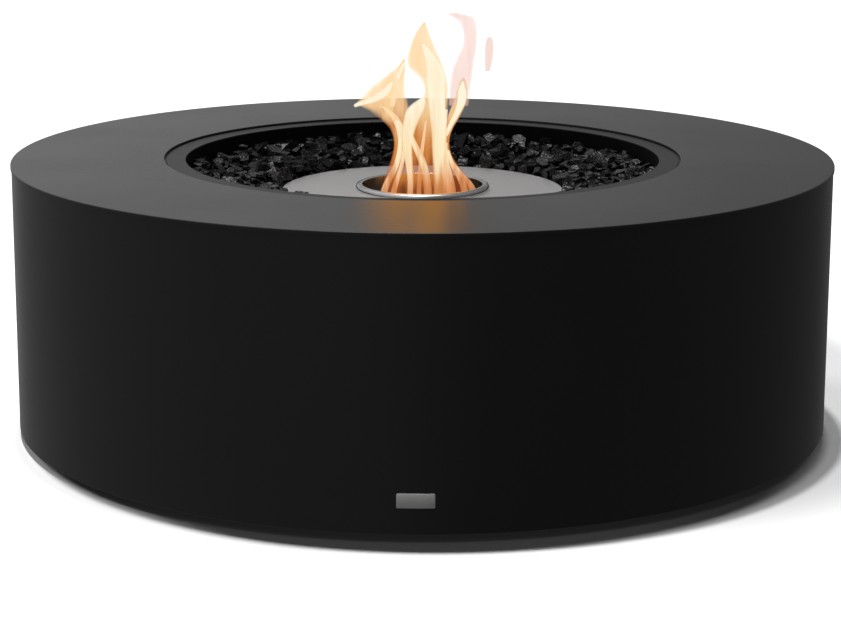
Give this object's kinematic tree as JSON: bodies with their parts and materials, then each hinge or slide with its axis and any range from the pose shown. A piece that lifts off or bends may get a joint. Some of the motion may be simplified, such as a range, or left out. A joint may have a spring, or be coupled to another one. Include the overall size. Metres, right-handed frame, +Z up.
{
  "type": "fire pit table",
  "caption": "Low round steel drum table with a ring top, a lift-out tray of black fire glass round a stainless liquid fuel burner, and levelling feet.",
  "frame": {"origin": "on the floor under the centre of the drum, level with the undersides of the feet", "axes": "+Z up along the drum's axis, -Y towards the front that carries the badge plate, +X to the right as seen from the front"},
  "size_m": [0.9999, 1, 0.332],
  "materials": {
    "powder_coat": "satin",
    "tray_coat": "satin",
    "burner_steel": "brushed",
    "fire_glass": "gloss",
    "fibre": "matt",
    "zinc_steel": "satin",
    "foot_plastic": "matt",
    "badge_steel": "brushed",
    "badge_tape": "matt"
  },
  "bodies": {
    "housing": {"badge_pad": "badge_tape", "badge_plate": "badge_steel", "base_ring": "powder_coat", "drum_shell": "powder_coat", "foot_weld_nuts": "zinc_steel", "ledge_hoop": "powder_coat", "opening_ledge": "powder_coat", "radial_rib_1": "powder_coat", "radial_rib_2": "powder_coat", "radial_rib_3": "powder_coat", "radial_rib_4": "powder_coat", "radial_rib_5": "powder_coat", "radial_rib_6": "powder_coat", "radial_rib_7": "powder_coat", "radial_rib_8": "powder_coat", "support_post_1": "powder_coat", "support_post_2": "powder_coat", "support_post_3": "powder_coat", "support_post_4": "powder_coat", "top_plate": "powder_coat"},
    "glass_tray": {"fire_glass_bed": "fire_glass", "fire_glass_chips": "fire_glass", "tray_flange": "tray_coat", "tray_floor": "tray_coat", "tray_wall": "tray_coat"},
    "burner": {"burner_jacket": "burner_steel", "burner_plate": "burner_steel", "fuel_reservoir": "burner_steel", "insulation_base": "fibre", "insulation_sleeve": "fibre", "mouth_collar": "burner_steel", "reservoir_lid": "burner_steel"},
    "pad_front_left": {"foot_pad_front_left": "foot_plastic"},
    "stud_front_left": {"foot_stud_front_left": "zinc_steel"},
    "pad_front_right": {"foot_pad_front_right": "foot_plastic"},
    "stud_front_right": {"foot_stud_front_right": "zinc_steel"},
    "pad_rear_right": {"foot_pad_rear_right": "foot_plastic"},
    "stud_rear_right": {"foot_stud_rear_right": "zinc_steel"},
    "pad_rear_left": {"foot_pad_rear_left": "foot_plastic"},
    "stud_rear_left": {"foot_stud_rear_left": "zinc_steel"}
  },
  "joints": [
    {"name": "tray_lift", "type": "slide", "parent": "housing", "child": "glass_tray", "axis": [0, 0, 1], "range_m": [0, 0.2]},
    {"name": "burner_lift", "type": "slide", "parent": "glass_tray", "child": "burner", "axis": [0, 0, 1], "range_m": [0, 0.2]},
    {"name": "level_front_left", "type": "slide", "parent": "housing", "child": "pad_front_left", "axis": [0, 0, -1], "range_m": [0, 0.012]},
    {"name": "turn_front_left", "type": "hinge", "parent": "pad_front_left", "child": "stud_front_left", "pos_m": [-0.33093, -0.33093, 0], "axis": [0, 0, -1], "range_deg": [0, 2890]},
    {"name": "level_front_right", "type": "slide", "parent": "housing", "child": "pad_front_right", "axis": [0, 0, -1], "range_m": [0, 0.012]},
    {"name": "turn_front_right", "type": "hinge", "parent": "pad_front_right", "child": "stud_front_right", "pos_m": [0.33093, -0.33093, 0], "axis": [0, 0, -1], "range_deg": [0, 2890]},
    {"name": "level_rear_right", "type": "slide", "parent": "housing", "child": "pad_rear_right", "axis": [0, 0, -1], "range_m": [0, 0.012]},
    {"name": "turn_rear_right", "type": "hinge", "parent": "pad_rear_right", "child": "stud_rear_right", "pos_m": [0.33093, 0.33093, 0], "axis": [0, 0, -1], "range_deg": [0, 2890]},
    {"name": "level_rear_left", "type": "slide", "parent": "housing", "child": "pad_rear_left", "axis": [0, 0, -1], "range_m": [0, 0.012]},
    {"name": "turn_rear_left", "type": "hinge", "parent": "pad_rear_left", "child": "stud_rear_left", "pos_m": [-0.33093, 0.33093, 0], "axis": [0, 0, -1], "range_deg": [0, 2890]}
  ],
  "couplings": [
    {"joint": "turn_front_left", "follows": "level_front_left", "rad_per_m": 4188.8},
    {"joint": "turn_front_right", "follows": "level_front_right", "rad_per_m": 4188.8},
    {"joint": "turn_rear_right", "follows": "level_rear_right", "rad_per_m": 4188.8},
    {"joint": "turn_rear_left", "follows": "level_rear_left", "rad_per_m": 4188.8}
  ]
}
